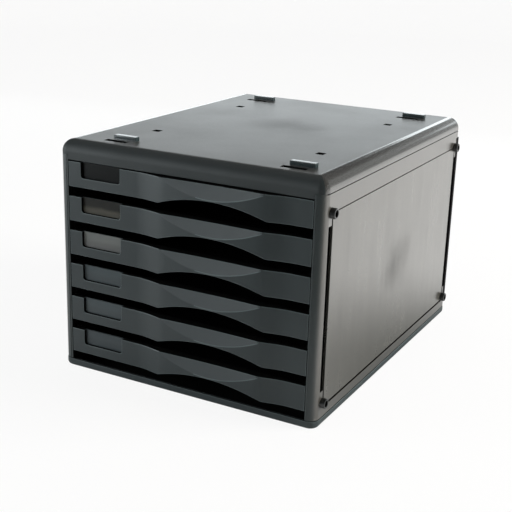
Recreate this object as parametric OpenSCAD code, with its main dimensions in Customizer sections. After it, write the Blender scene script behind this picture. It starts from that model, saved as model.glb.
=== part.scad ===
// Desktop drawer cabinet for letter and A4 paper: a moulded housing with six
// shallow sliding trays, wave-shaped fronts, and lugs for stacking units.
// Millimetres. Front faces -Y, +Z up, origin in the middle of the underside.

/* [Housing] */
// Width of the housing, left to right
housing_w = 290; // [278:1:330]
// Depth of the housing, front to back
housing_d = 370; // [350:1:420]
// Radius of the housing's upright corners
corner_r = 9; // [6:0.5:10]
// Wall thickness of the moulded housing shells
wall = 2.5; // [2:0.1:3]
// Width of each post beside the drawers
post_w = 10.8; // [10.2:0.1:14]
// Depth of the return behind each front post
jamb_d = 7.4; // [5:0.1:8]

/* [Base] */
// Height of the base tray
base_h = 8.4; // [7.8:0.1:12]
// Thickness of the base floor
base_floor = 3; // [2:0.1:3.2]
// Thickness of the base rim
base_rim = 4; // [3.6:0.1:5]
// How far the base stands out past the housing sides
base_flare = 0.4; // [0:0.1:1]
// Radius along the lower edge of the base
base_edge_r = 4; // [1:0.5:6]

/* [Top cover] */
// Height of the cover above its seam with the sides
cover_h = 15; // [13.5:0.5:22]
// Radius along the cover's upper edges
cover_edge_r = 12.5; // [6:0.5:13]
// How far the cover's front lip hangs below the side seam
cover_lip_h = 4.6; // [2:0.1:8]

/* [Stacking lugs] */
// Distance from the middle of a pair of slots to each slot's middle
lug_x = 97; // [70:1:108]
// How far the front pair of slots sits to the right of the cover's middle
lug_front_x = 5; // [-6:0.5:6]
// How far the rear pair of slots sits to the right of the cover's middle
lug_back_x = -1; // [-6:0.5:6]
// How far each lug sits to the right of its slot
lug_shift = 4; // [0:0.5:6]
// Width of each lug
lug_w = 26; // [15:0.5:32]
// Depth of each lug, front to back
lug_d = 6.6; // [4:0.1:9]
// Height of each lug above the cover
lug_h = 4; // [2:0.1:5]
// Width of the slot in front of each lug
slot_w = 25; // [15:0.5:30]
// Depth of the slot, front to back
slot_d = 7; // [4.5:0.1:9]
// Distance from the housing front to the front slots' middle
slot_front_y = 23; // [19:0.1:30]
// Distance from the housing back to the rear slots' middle
slot_back_y = 47.5; // [44:0.5:60]
// Distance between a slot's middle and its lug's front face
slot_to_lug = 8.1; // [6.5:0.1:12]
// Distance from the middle of a pair of square holes to each hole's middle
hole_x = 93; // [70:1:110]
// How far the front pair of holes sits to the right of the cover's middle
hole_front_x = 3.5; // [-6:0.5:6]
// Distance from the housing front to the front holes' middle
hole_front_y = 90.5; // [75:0.5:120]
// Distance from the housing back to the rear holes' middle
hole_back_y = 99; // [75:0.5:120]
// Side of each square hole
hole_side = 8; // [5:0.5:12]

/* [Side panels] */
// Distance from the housing front or back to the panel's edge
panel_inset = 17.3; // [16.5:0.1:30]
// Gap between the panel's upright edges and the side frame
panel_gap_side = 2.3; // [0.5:0.1:3]
// Gap above the panel
panel_gap_top = 0.8; // [0.3:0.1:2]
// Gap below the panel
panel_gap_bottom = 2.4; // [0.3:0.1:2.5]
// Height of the side frame's rail below the panel
rail_low_h = 9.4; // [8:0.1:11]
// Height of the side frame's rail above the panel
rail_top_h = 18.1; // [16:0.1:24]
// Thickness of the sheet behind the panel's edges
backing_t = 2; // [1.5:0.1:2.5]
// How far the sheet reaches in behind the panel
backing_w = 13; // [8:0.5:30]
// Distance from the housing front or back to each finger slot
grip_inset = 8.4; // [7:0.1:10]
// Height of each finger slot
grip_h = 159; // [80:1:165]
// Height of the finger slots' lower end above the lower rail
grip_low = 18.2; // [17:0.1:30]

/* [Corner pegs] */
// Distance from the housing front to each front peg
peg_y = 13.5; // [12.6:0.1:15]
// Distance from the housing back to each rear peg
peg_back_y = 17; // [13:0.1:20]
// Height of the lower pegs above the base seam
peg_low_z = 15.6; // [14:0.1:17]
// Distance from the upper pegs to the cover seam
peg_top_z = 18; // [14:0.1:19.5]
// Radius of the peg's shank
peg_r = 3.2; // [2:0.1:3.4]
// Radius of the peg's head
peg_head_r = 5; // [4.5:0.1:6]
// How far the peg's head stands out of the side
peg_head_l = 5; // [3:0.1:8]
// Radius of the recess in the peg's head
peg_recess_r = 3; // [1.5:0.1:3.6]
// Depth of the recess in the peg's head
peg_recess_d = 3; // [1:0.1:3]
// Play between the peg's shank and its bore, on the radius
peg_play = 0.05; // [0.02:0.01:0.1]
// Gap round a neighbour's peg in its socket, in the left side
socket_play = 0.3; // [0.1:0.1:0.5]

/* [Drawer fronts] */
// Height of each drawer front
front_h = 25.4; // [25:0.1:34]
// Gap between one front and the next, for the fingers
front_gap = 9.8; // [6:0.1:16]
// Gap between the base and the lowest front
low_gap = 9.4; // [5:0.1:16]
// Gap between the highest front and the cover's lip
top_gap = 1.2; // [0.6:0.1:3]
// Gap between a front and the post beside it
front_side_gap = 0.5; // [0.3:0.1:1.5]
// Thickness of a front at its flat ends
front_t = 5.5; // [4.6:0.1:7]
// Radius of the front's upright end edges
front_end_r = 1; // [0.4:0.1:1.6]
// Middle of the wave, to the right of the front's middle
wave_x = 32; // [10:1:40]
// Half the distance between the two crests of the wave
wave_half = 58; // [35:1:62]
// How far each crest stands out
crest_out = 5; // [2:0.1:7]
// How much further the middle of the wave stands out
bulge_out = 2.5; // [0.5:0.1:4]
// Width of the hollow that falls away from each crest
flank_w = 28; // [20:1:32]
// How far the scoop's top edge sits back from the crests
scoop_back = 1.6; // [0.5:0.1:3]
// Depth of the scoop down the face, at its middle
scoop_h = 13.8; // [8:0.1:14]
// Height of the finger arch in the lower edge
arch_h = 10.4; // [4:0.1:10.4]

/* [Label windows] */
// Width of the label recess
label_w = 44.2; // [30:0.1:50]
// Distance from the front's left end to the label recess
label_inset = 15; // [6:0.1:18]
// Height of the front below the label recess
label_low = 9.8; // [5:0.1:14]
// Depth of the label recess in front of the window
label_d = 3; // [1:0.1:3]
// Thickness of the window strip
label_t = 1.2; // [0.8:0.1:1.3]
// Radius of the recess's lower corners
label_r = 2.6; // [1:0.1:4]
// Gap round the window strip
label_gap = 0.15; // [0.05:0.05:0.4]

/* [Drawer trays] */
// Thickness of the tray's walls and floor
tray_wall = 2; // [1.6:0.1:2.5]
// Height of the tray's underside above the front's lower edge
tray_lift = 1; // [0.5:0.1:3]
// Height of the tray's rim above the front's lower edge
tray_rim = 24; // [23:0.1:24.6]
// Thickness of the rim flange that slides on the ledge
flange_t = 1.8; // [1.4:0.1:2.4]
// Gap between the tray and the runner wall beside it
tray_side_gap = 0.6; // [0.4:0.1:1]
// Gap between the tray's back and the rear stop
tray_back_gap = 0.3; // [0.2:0.1:1]
// Depth of the finger pocket behind the arch
pocket_d = 18; // [10:0.5:28]

/* [Runners] */
// Thickness of the runner wall
runner_t = 2; // [1.5:0.1:3]
// Width of each ledge, from the runner wall inwards
ledge_w = 5.2; // [4:0.1:7]
// Thickness of each ledge
ledge_t = 2.2; // [1.5:0.1:3]
// Gap between the tray's flange and the guide above it
guide_gap = 0.4; // [0.2:0.1:0.8]
// Thickness of the guide above the flange
guide_t = 1.5; // [1:0.1:2.5]
// Width of the guide above the flange
guide_w = 3.7; // [2.5:0.1:4]
// Gap between a front post's return and the runner wall behind it
runner_gap = 0.2; // [0.1:0.1:1]
// Distance from the housing back to the runner wall
runner_back = 5; // [4.8:0.1:7]
// Length of the rear stop on each ledge
stop_l = 2.6; // [2:0.1:4]
// How far each drawer slides out
travel = 280; // [150:1:290]
// Length of the catch at the back of the tray's flange
catch_l = 6; // [3:0.5:10]

/* [Back panel] */
// How far the back panel reaches round onto the sides
back_wrap = 8.5; // [6:0.5:12]
// Distance from the cover seam to the part that reaches round
back_wrap_top = 8; // [4:0.5:12]
// Gap between the back panel and the side frames
back_gap = 0.2; // [0.1:0.1:1]
// Width of the flanges that hold the back panel
back_flange_w = 4.5; // [3:0.1:6]
// Thickness of the back panel's flanges
back_flange_t = 2; // [1.5:0.1:2.2]

/* [Hidden] */
$fn = 96;
eps = 0.02;
drawers = 6;
charcoal = [0.16, 0.18, 0.19];
charcoal_light = [0.24, 0.24, 0.24];
black = [0.06, 0.06, 0.065];
smoke = [0.20, 0.21, 0.22];

// Planes of the housing
side_x = housing_w / 2;
front_y = -housing_d / 2;
back_y = housing_d / 2;
skin_in_x = side_x - wall;
open_x = side_x - post_w;

// Levels of the housing, from the base up
pitch = front_h + front_gap;
front_z0 = base_h + low_gap;
open_top = front_z0 + (drawers - 1) * pitch + front_h + top_gap;
seam_z = open_top + cover_lip_h;
top_z = seam_z + cover_h;
frame_h = seam_z - base_h;

// Side panel and its opening
panel_z0 = base_h + rail_low_h + panel_gap_bottom;
panel_z1 = seam_z - rail_top_h - panel_gap_top;
panel_half = housing_d / 2 - panel_inset;
hole_half = panel_half + panel_gap_side;
backing_x = skin_in_x - backing_t;
grip_z0 = base_h + rail_low_h + grip_low;
backing_margin = 5;
backing_tab_y = front_y + max(grip_inset, corner_r);

// Pegs
peg_z = [base_h + peg_low_z, seam_z - peg_top_z];
peg_at_y = [front_y + peg_y, back_y - peg_back_y];
peg_boss_r = peg_r + 2.6;
peg_socket_r = peg_head_r + socket_play;
peg_socket_l = peg_head_l + socket_play;
peg_socket_wall = 1.5;
peg_chamfer = 0.8;

// The part of the back panel that reaches round onto the sides
wrap_y = back_y - back_wrap;
wrap_z0 = base_h + rail_low_h;
wrap_z1 = seam_z - back_wrap_top;

// Runners, measured outwards from the middle
runner_x = open_x;
ledge_x = runner_x - ledge_w;
flange_x = runner_x - tray_side_gap;
tray_x = ledge_x - tray_side_gap;
ledge_top = tray_rim - flange_t;
guide_z = tray_rim + guide_gap;
stop_y = back_y - runner_back - stop_l;
tray_back_y = stop_y - tray_back_gap;
catch_y = tray_back_y - catch_l;
catch_x = runner_x - guide_w + 0.4;
runner_front = jamb_d + runner_gap;
ledge_front_y = front_y + runner_front;
guide_end_y = catch_y - travel - 0.3;
tray_front_y = front_y + front_t;

// Wave of the drawer fronts
front_x = open_x - front_side_gap;
flank_r = (flank_w * flank_w + crest_out * crest_out) / (2 * crest_out);
bulge_r = (wave_half * wave_half + bulge_out * bulge_out) / (2 * bulge_out);
scoop_r = wave_half * wave_half / (2 * scoop_back);
scoop_tilt = atan((bulge_out + scoop_back) / scoop_h);
arch_r = (wave_half * wave_half + arch_h * arch_h) / (2 * arch_h);
pocket_half = wave_half - 4;
pocket_r = (pocket_half * pocket_half + pocket_d * pocket_d) / (2 * pocket_d);
label_x0 = -front_x + label_inset;
core_wall = 4;

// Level of a drawer front's lower edge; drawer 1 is the highest
function drawer_z(k) = front_z0 + (drawers - k) * pitch;

// ---------- shared shapes ----------

// Rectangle with round corners, about the middle
module round_rect(w, d, r) {
    square([w - 2 * r, d], center = true);
    square([w, d - 2 * r], center = true);
    for (sx = [-1, 1], sy = [-1, 1])
        translate([sx * (w / 2 - r), sy * (d / 2 - r)])
            circle(r);
}

// Outline of a crowned block seen from one side, standing on z = 0
module crown_outline(w, h, r) {
    translate([-w / 2, 0])
        square([w, h - r]);
    translate([-w / 2 + r, 0])
        square([w - 2 * r, h]);
    intersection() {
        translate([-w / 2, 0])
            square([w, h]);
        for (s = [-1, 1])
            translate([s * (w / 2 - r), h - r])
                circle(r);
    }
}

// Block with round upright corners (rc) and round upper edges (re)
module crown_block(w, d, h, rc, re) {
    difference() {
        intersection() {
            rotate([90, 0, 0])
                linear_extrude(d, center = true)
                    crown_outline(w, h, re);
            rotate([90, 0, 90])
                linear_extrude(w, center = true)
                    crown_outline(d, h, re);
        }
        for (sx = [0, 1], sy = [0, 1])
            mirror([sx, 0, 0])
                mirror([0, sy, 0])
                    translate([w / 2 - rc, d / 2 - rc, -1])
                        cube([rc + 1, rc + 1, h + 2]);
    }
    for (sx = [0, 1], sy = [0, 1])
        mirror([sx, 0, 0])
            mirror([0, sy, 0])
                translate([w / 2 - rc, d / 2 - rc, 0])
                    rotate_extrude(angle = 90)
                        crown_corner(h, rc, re);
}

// Half section of one upright corner of a crowned block
module crown_corner(h, rc, re) {
    intersection() {
        square([rc, h]);
        union() {
            square([rc, h - re]);
            translate([rc - re, h - re])
                circle(re);
            if (rc > re)
                square([rc - re, h]);
        }
    }
}

// Box from its least corner to its greatest
module span(x0, x1, y0, y1, z0, z1) {
    translate([x0, y0, z0])
        cube([x1 - x0, y1 - y0, z1 - z0]);
}

// Copies its children to the four stacking places, at the slots' middles
module at_slots(shift_x = 0) {
    for (sx = [-1, 1]) {
        translate([sx * lug_x + lug_front_x + shift_x, front_y + slot_front_y, 0])
            children();
        translate([sx * lug_x + lug_back_x + shift_x, back_y - slot_back_y, 0])
            children();
    }
}

// ---------- base ----------

socket_gap = 0.5;
socket_wall = 2;

module lug_place(grow, z0, z1) {
    at_slots(lug_shift)
        span(-lug_w / 2 - grow, lug_w / 2 + grow,
             slot_to_lug - grow, slot_to_lug + lug_d + grow, z0, z1);
}

module base_tray() {
    color(charcoal)
    difference() {
        union() {
            difference() {
                translate([0, 0, base_h])
                    mirror([0, 0, 1])
                        crown_block(housing_w + 2 * base_flare, housing_d + 2 * base_flare,
                                    base_h, corner_r + base_flare, base_edge_r);
                translate([0, 0, base_floor])
                    linear_extrude(base_h)
                        round_rect(housing_w + 2 * base_flare - 2 * base_rim,
                                   housing_d + 2 * base_flare - 2 * base_rim, corner_r - 3);
            }
            lug_place(socket_gap + socket_wall, base_floor - 1, lug_h + socket_gap + socket_wall);
        }
        lug_place(socket_gap, -1, lug_h + socket_gap);
    }
}

// ---------- top cover ----------

lip_clear = 0.2;
lip_t = 2;
lip_l = 40;
lip_h = 8;

module cover_shell() {
    difference() {
        crown_block(housing_w, housing_d, cover_h, corner_r, cover_edge_r);
        translate([0, 0, -1])
            crown_block(housing_w - 2 * wall, housing_d - 2 * wall, cover_h + 1 - wall,
                        corner_r - wall, cover_edge_r - wall);
    }
}

// Ribs that drop inside the side frames and hold the cover in place
module cover_ribs() {
    for (sx = [0, 1], y = [-1, 0, 1])
        mirror([sx, 0, 0])
            translate([0, y * (housing_d / 2 - 60), 0]) {
                span(skin_in_x - lip_clear - lip_t, skin_in_x - lip_clear,
                     -lip_l / 2, lip_l / 2, -lip_h, 2);
                span(skin_in_x - lip_clear - lip_t, skin_in_x + 1,
                     -lip_l / 2, lip_l / 2, 1, 4);
            }
}

module top_cover() {
    color(charcoal_light)
    difference() {
        union() {
            translate([0, 0, seam_z]) {
                cover_shell();
                cover_ribs();
            }
            span(-open_x, open_x, front_y, front_y + wall, open_top, seam_z + 1);
            lug_place(0, top_z - 1, top_z + lug_h);
        }
        at_slots()
            span(-slot_w / 2, slot_w / 2, -slot_d / 2, slot_d / 2, top_z - wall - 1, top_z + 1);
        for (sx = [-1, 1]) {
            translate([sx * hole_x + hole_front_x, front_y + hole_front_y, top_z])
                cube([hole_side, hole_side, 4 * wall], center = true);
            translate([sx * hole_x, back_y - hole_back_y, top_z])
                cube([hole_side, hole_side, 4 * wall], center = true);
        }
    }
}

// ---------- sides ----------

// Plan of the right-hand side frame: skin, front post with its return, rear corner
module side_plan() {
    intersection() {
        difference() {
            round_rect(housing_w, housing_d, corner_r);
            round_rect(housing_w - 2 * wall, housing_d - 2 * wall, corner_r - wall);
        }
        translate([open_x, front_y])
            square([post_w, housing_d]);
    }
    translate([open_x, front_y])
        square([runner_t, jamb_d]);
}

module peg_bores(x0) {
    for (y = peg_at_y, z = peg_z)
        translate([x0, y, z])
            rotate([0, 90, 0])
                cylinder(r = peg_r + peg_play, h = side_x + 1 - x0);
}

// Sockets for the pegs of a unit on the left, drawn on the right-hand side
module peg_sockets() {
    for (y = peg_at_y, z = peg_z)
        translate([side_x - peg_socket_l, y, z])
            rotate([0, 90, 0])
                cylinder(r = peg_socket_r, h = peg_socket_l + 1);
}

// Finger slots beside the panel, at the front and at the back
module grip_slots() {
    for (s = [0, 1])
        mirror([0, s, 0])
            span(backing_x - 1, side_x + 1, front_y + grip_inset, -panel_half,
                 grip_z0, grip_z0 + grip_h);
}

module side_frame(boss_r) {
    difference() {
        union() {
            difference() {
                translate([0, 0, base_h])
                    linear_extrude(frame_h)
                        side_plan();
                span(skin_in_x - 1, side_x + 1, -hole_half, hole_half,
                     panel_z0 - panel_gap_bottom, panel_z1 + panel_gap_top);
                // room for the back panel where it reaches round
                span(open_x - 1, side_x + 1, wrap_y, back_y + 1, wrap_z0, wrap_z1);
            }
            // sheet behind the panel's edges, with tabs that carry the pegs
            difference() {
                union() {
                    span(backing_x, skin_in_x, -panel_half, panel_half,
                         panel_z0 - backing_margin, panel_z1 + backing_margin);
                    for (s = [0, 1])
                        mirror([0, s, 0]) {
                            span(backing_x, skin_in_x, backing_tab_y, 0,
                                 panel_z0 - backing_margin, grip_z0 - eps);
                            span(backing_x, skin_in_x, backing_tab_y, 0,
                                 grip_z0 + grip_h, panel_z1 + backing_margin);
                        }
                }
                span(backing_x - 1, skin_in_x + 1, -panel_half + backing_w, panel_half - backing_w,
                     panel_z0 + backing_w, panel_z1 - backing_w);
            }
            for (y = peg_at_y, z = peg_z)
                translate([runner_x + runner_t, y, z])
                    rotate([0, 90, 0])
                        cylinder(r = boss_r, h = skin_in_x - runner_x - runner_t);
        }
        grip_slots();
    }
}

module side_panel() {
    span(skin_in_x, side_x, -panel_half, panel_half, panel_z0, panel_z1);
}

// One peg lying along +X, with its head's seat at x = 0
module corner_peg() {
    shank_l = side_x - runner_x;
    rotate([0, 90, 0])
        rotate_extrude()
            difference() {
                union() {
                    translate([0, -shank_l])
                        square([peg_r, shank_l + 1]);
                    square([peg_head_r, peg_head_l - peg_chamfer]);
                    polygon([[0, 0], [peg_head_r, peg_head_l - peg_chamfer],
                             [peg_head_r - peg_chamfer, peg_head_l], [0, peg_head_l]]);
                }
                translate([-1, peg_head_l - peg_recess_d])
                    square([1 + peg_recess_r, peg_recess_d + 1]);
            }
}

module corner_pegs() {
    for (y = peg_at_y, z = peg_z)
        translate([side_x, y, z])
            corner_peg();
}

module left_side_frame() {
    color(charcoal_light)
    mirror([1, 0, 0])
        difference() {
            side_frame(peg_socket_r + peg_socket_wall);
            peg_sockets();
        }
}

module right_side_frame() {
    color(charcoal_light)
    difference() {
        side_frame(peg_boss_r);
        peg_bores(runner_x + runner_t - 1);
    }
}

module left_side_panel() {
    color(charcoal_light)
    mirror([1, 0, 0])
        difference() {
            side_panel();
            peg_sockets();
        }
}

module right_side_panel() {
    color(charcoal_light)
    difference() {
        side_panel();
        peg_bores(skin_in_x - 1);
    }
}

module right_corner_pegs() { color(black) corner_pegs(); }

// ---------- runners ----------

module runner_wall() {
    span(runner_x, runner_x + runner_t, ledge_front_y, back_y - runner_back,
         base_floor, open_top);
}

module runner_ledges() {
    for (k = [1:drawers])
        translate([0, 0, drawer_z(k)]) {
            span(ledge_x, runner_x + eps, ledge_front_y, stop_y, ledge_top - ledge_t, ledge_top);
            span(runner_x - guide_w, runner_x + eps, ledge_front_y, guide_end_y,
                 guide_z, guide_z + guide_t);
            span(ledge_x, runner_x + eps, stop_y, stop_y + stop_l,
                 ledge_top - ledge_t, guide_z);
        }
}

module left_runner_rack() {
    color(black)
    mirror([1, 0, 0])
        union() {
            runner_wall();
            runner_ledges();
        }
}

module right_runner_rack() {
    color(black)
    union() {
        difference() {
            runner_wall();
            peg_bores(runner_x - 1);
        }
        runner_ledges();
    }
}

// ---------- back ----------

// Plan of the flanges behind the rear corners, clear of their round inside
module back_flange_plan() {
    y0 = back_y - wall - back_flange_t;
    flat_x = side_x - corner_r;
    translate([-flat_x, y0])
        square([2 * flat_x, back_flange_t]);
    intersection() {
        translate([-open_x - back_flange_w, y0])
            square([2 * (open_x + back_flange_w), back_flange_t]);
        round_rect(housing_w - 2 * (wall + back_gap), housing_d - 2 * (wall + back_gap),
                   corner_r - wall - back_gap);
    }
}

// Plan of the back with its corners, as far as it reaches round
module back_wrap_plan() {
    intersection() {
        difference() {
            round_rect(housing_w, housing_d, corner_r);
            round_rect(housing_w - 2 * wall, housing_d - 2 * wall, corner_r - wall);
        }
        translate([-side_x - 1, wrap_y + back_gap])
            square([housing_w + 2, back_wrap + 1]);
    }
}

module back_panel() {
    color(black)
    difference() {
        union() {
            span(-open_x + back_gap, open_x - back_gap, back_y - wall, back_y, base_h, seam_z);
            translate([0, 0, base_h])
                linear_extrude(frame_h)
                    back_flange_plan();
            translate([0, 0, wrap_z0 + back_gap])
                linear_extrude(wrap_z1 - wrap_z0 - 2 * back_gap)
                    back_wrap_plan();
        }
        grip_slots();
        mirror([1, 0, 0])
            grip_slots();
        peg_bores(skin_in_x - 1);
        mirror([1, 0, 0])
            peg_sockets();
    }
}

// ---------- drawers ----------

// Plan of a drawer front, with its face on y = 0 and the wave towards -Y
module front_plan() {
    difference() {
        translate([-front_x, 0])
            square([2 * front_x, front_t]);
        for (s = [-1, 1])
            translate([s * front_x, 0])
                square(2 * front_end_r, center = true);
    }
    for (s = [-1, 1])
        translate([s * (front_x - front_end_r), front_end_r])
            circle(front_end_r);
    difference() {
        intersection() {
            translate([wave_x - wave_half - flank_w + 2, -2 * (crest_out + bulge_out)])
                square([2 * (wave_half + flank_w - 2), 2 * (crest_out + bulge_out) + 1]);
            translate([wave_x, bulge_r - crest_out - bulge_out])
                circle(bulge_r, $fn = 720);
        }
        for (s = [-1, 1])
            translate([wave_x + s * (wave_half + flank_w), -flank_r])
                circle(flank_r, $fn = 360);
    }
}

// The space under the arch, run along Y, grown by a wall where asked
module arch_space(y0, y1, grow = 0) {
    translate([wave_x, y1, arch_h - arch_r])
        rotate([90, 0, 0])
            cylinder(r = arch_r + grow, h = y1 - y0, $fn = 720);
}

// The hollow face above the crease
module scoop() {
    translate([wave_x, scoop_back - crest_out, front_h])
        rotate([-scoop_tilt, 0, 0])
            translate([0, -scoop_r, 0])
                cylinder(r = scoop_r, h = 6 * front_h, center = true, $fn = 1440);
}

// Label recess seen from the front, or the strip in it when shrunk by a gap
module label_outline(gap) {
    w = label_w - 2 * gap;
    translate([label_x0 + gap, label_low]) {
        translate([label_r, 0])
            square([w - 2 * label_r, front_h]);
        translate([0, label_r])
            square([w, front_h]);
        for (x = [label_r, w - label_r])
            translate([x, label_r])
                circle(label_r);
    }
}

module drawer_front() {
    difference() {
        linear_extrude(front_h)
            front_plan();
        scoop();
        arch_space(-20, front_t + 1);
        translate([0, label_d + label_t, 0])
            rotate([90, 0, 0])
                linear_extrude(20)
                    label_outline(0);
    }
}

module label_window() {
    intersection() {
        translate([0, label_d + label_t, 0])
            rotate([90, 0, 0])
                linear_extrude(label_t)
                    label_outline(label_gap);
        span(-front_x, front_x, -1, front_t, 0, front_h - label_gap);
    }
}

// Space for the fingers behind the arch, grown by a wall where asked
module finger_pocket(grow = 0) {
    intersection() {
        arch_space(-1, pocket_d + 10, grow);
        translate([wave_x, pocket_d - pocket_r, -1])
            cylinder(r = pocket_r + grow, h = tray_rim, $fn = 360);
    }
}

module drawer_tray() {
    depth = tray_back_y - tray_front_y;
    difference() {
        union() {
            difference() {
                span(-tray_x, tray_x, 0, depth, tray_lift, tray_rim);
                span(-tray_x + tray_wall, tray_x - tray_wall, tray_wall, depth - tray_wall,
                     tray_lift + tray_wall, tray_rim + 1);
            }
            for (s = [0, 1])
                mirror([s, 0, 0]) {
                    span(tray_x - tray_wall, flange_x, runner_front - front_t, depth,
                         ledge_top, tray_rim);
                    span(catch_x, flange_x, depth - catch_l, depth,
                         ledge_top, guide_z + guide_t);
                }
            intersection() {
                finger_pocket(tray_wall);
                span(-tray_x, tray_x, 0, depth, tray_lift, tray_rim);
            }
        }
        finger_pocket();
    }
}

module tray_node(k) {
    color(black)
        translate([0, tray_front_y, drawer_z(k)])
            drawer_tray();
}

module front_node(k) {
    color(charcoal)
        translate([0, front_y, drawer_z(k)])
            drawer_front();
}

module window_node(k) {
    color(smoke)
        translate([0, front_y, drawer_z(k)])
            label_window();
}

module drawer_1_tray() { tray_node(1); }
module drawer_1_front() { front_node(1); }
module drawer_1_label_window() { window_node(1); }
module drawer_2_tray() { tray_node(2); }
module drawer_2_front() { front_node(2); }
module drawer_2_label_window() { window_node(2); }
module drawer_3_tray() { tray_node(3); }
module drawer_3_front() { front_node(3); }
module drawer_3_label_window() { window_node(3); }
module drawer_4_tray() { tray_node(4); }
module drawer_4_front() { front_node(4); }
module drawer_4_label_window() { window_node(4); }
module drawer_5_tray() { tray_node(5); }
module drawer_5_front() { front_node(5); }
module drawer_5_label_window() { window_node(5); }
module drawer_6_tray() { tray_node(6); }
module drawer_6_front() { front_node(6); }
module drawer_6_label_window() { window_node(6); }

base_tray();
top_cover();
left_side_frame();
right_side_frame();
left_side_panel();
right_side_panel();
right_corner_pegs();
left_runner_rack();
right_runner_rack();
back_panel();
drawer_1_tray();
drawer_1_front();
drawer_1_label_window();
drawer_2_tray();
drawer_2_front();
drawer_2_label_window();
drawer_3_tray();
drawer_3_front();
drawer_3_label_window();
drawer_4_tray();
drawer_4_front();
drawer_4_label_window();
drawer_5_tray();
drawer_5_front();
drawer_5_label_window();
drawer_6_tray();
drawer_6_front();
drawer_6_label_window();
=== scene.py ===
"""Looks of the desktop drawer cabinet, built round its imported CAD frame.

Sizes are in millimetres in the classes and in metres in the meshes. The frame's
origin is the middle of the underside, the front faces -Y and +Z is up.
"""

import logging
import math
from dataclasses import dataclass
from enum import Enum
from typing import Any, Callable, Iterable, Sequence

import bmesh
import bpy
from mathutils import Matrix, Vector


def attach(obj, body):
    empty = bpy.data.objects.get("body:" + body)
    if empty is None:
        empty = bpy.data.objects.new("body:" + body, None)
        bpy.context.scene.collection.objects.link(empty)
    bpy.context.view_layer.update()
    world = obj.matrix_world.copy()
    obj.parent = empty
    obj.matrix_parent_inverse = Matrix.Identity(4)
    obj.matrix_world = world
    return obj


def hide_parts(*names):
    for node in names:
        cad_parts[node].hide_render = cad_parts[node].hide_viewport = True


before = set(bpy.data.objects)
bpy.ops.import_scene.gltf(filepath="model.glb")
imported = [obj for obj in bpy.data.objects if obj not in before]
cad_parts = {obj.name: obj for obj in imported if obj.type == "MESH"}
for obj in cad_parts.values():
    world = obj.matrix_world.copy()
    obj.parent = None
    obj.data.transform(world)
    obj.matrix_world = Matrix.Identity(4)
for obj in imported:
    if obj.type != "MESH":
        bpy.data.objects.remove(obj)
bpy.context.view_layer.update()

MM = 0.001
MERGE_GAP = 0.002 * MM
JOIN_GAP = 0.005 * MM
FLAT_ANGLE = 0.3
SHADING_WEIGHT = 60
UPWARD = 0.5
EDGE_ON = 0.9

Pair = tuple[float, float]
Point = tuple[float, float, float]
Colour = tuple[float, float, float]
Face = bpy.types.MeshPolygon
Material = bpy.types.Material
Object = bpy.types.Object

log = logging.getLogger("cabinet")


# ---------------------------------------------------------------- node trees


class Signal:
    """A node socket on which ordinary arithmetic adds Math nodes."""

    def __init__(self, tree: "Tree", socket: bpy.types.NodeSocket) -> None:
        """Wraps one output socket of a tree."""
        self.tree, self.socket = tree, socket

    def math(self, operation: str, *values: Any, clamp: bool = False) -> "Signal":
        """Adds one Math node.

        Args:
            operation: The node's operation, such as "ADD".
            values: Every input in order, this signal included where it is used.
            clamp: Whether the result is held between 0 and 1.

        Returns:
            The node's result.
        """
        how = {"operation": operation, "use_clamp": clamp}
        return self.tree.node("ShaderNodeMath", dict(enumerate(values)), **how)[0]

    def __add__(self, other: Any) -> "Signal":
        """Sum."""
        return self.math("ADD", self, other)

    def __radd__(self, other: Any) -> "Signal":
        """Sum, reflected."""
        return self.math("ADD", other, self)

    def __sub__(self, other: Any) -> "Signal":
        """Difference."""
        return self.math("SUBTRACT", self, other)

    def __rsub__(self, other: Any) -> "Signal":
        """Difference, reflected."""
        return self.math("SUBTRACT", other, self)

    def __mul__(self, other: Any) -> "Signal":
        """Product."""
        return self.math("MULTIPLY", self, other)

    def __rmul__(self, other: Any) -> "Signal":
        """Product, reflected."""
        return self.math("MULTIPLY", other, self)

    def __truediv__(self, other: Any) -> "Signal":
        """Quotient."""
        return self.math("DIVIDE", self, other)

    def __neg__(self) -> "Signal":
        """Negative."""
        return self.math("MULTIPLY", self, -1.0)

    def size(self) -> "Signal":
        """Absolute value."""
        return self.math("ABSOLUTE", self)

    def root(self) -> "Signal":
        """Square root, of zero where the value is negative."""
        return self.math("SQRT", self.most(0.0))

    def least(self, other: Any) -> "Signal":
        """The smaller of two values."""
        return self.math("MINIMUM", self, other)

    def most(self, other: Any) -> "Signal":
        """The larger of two values."""
        return self.math("MAXIMUM", self, other)

    def step(self, low: float, high: float) -> "Signal":
        """Runs from 0 at low to 1 at high, and is held there outside."""
        return self.math("MULTIPLY", self - low, 1.0 / (high - low), clamp=True)

    def smooth(self, low: float, high: float) -> "Signal":
        """Like step, with soft ends."""
        t = self.step(low, high)
        return t * t * (3.0 - 2.0 * t)


class Node:
    """A node that was added to a tree."""

    def __init__(self, tree: "Tree", node: bpy.types.Node) -> None:
        """Wraps one node."""
        self.tree, self.node = tree, node

    def __getitem__(self, key: int | str) -> Signal:
        """One output, by index or name."""
        return Signal(self.tree, self.node.outputs[key])


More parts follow.
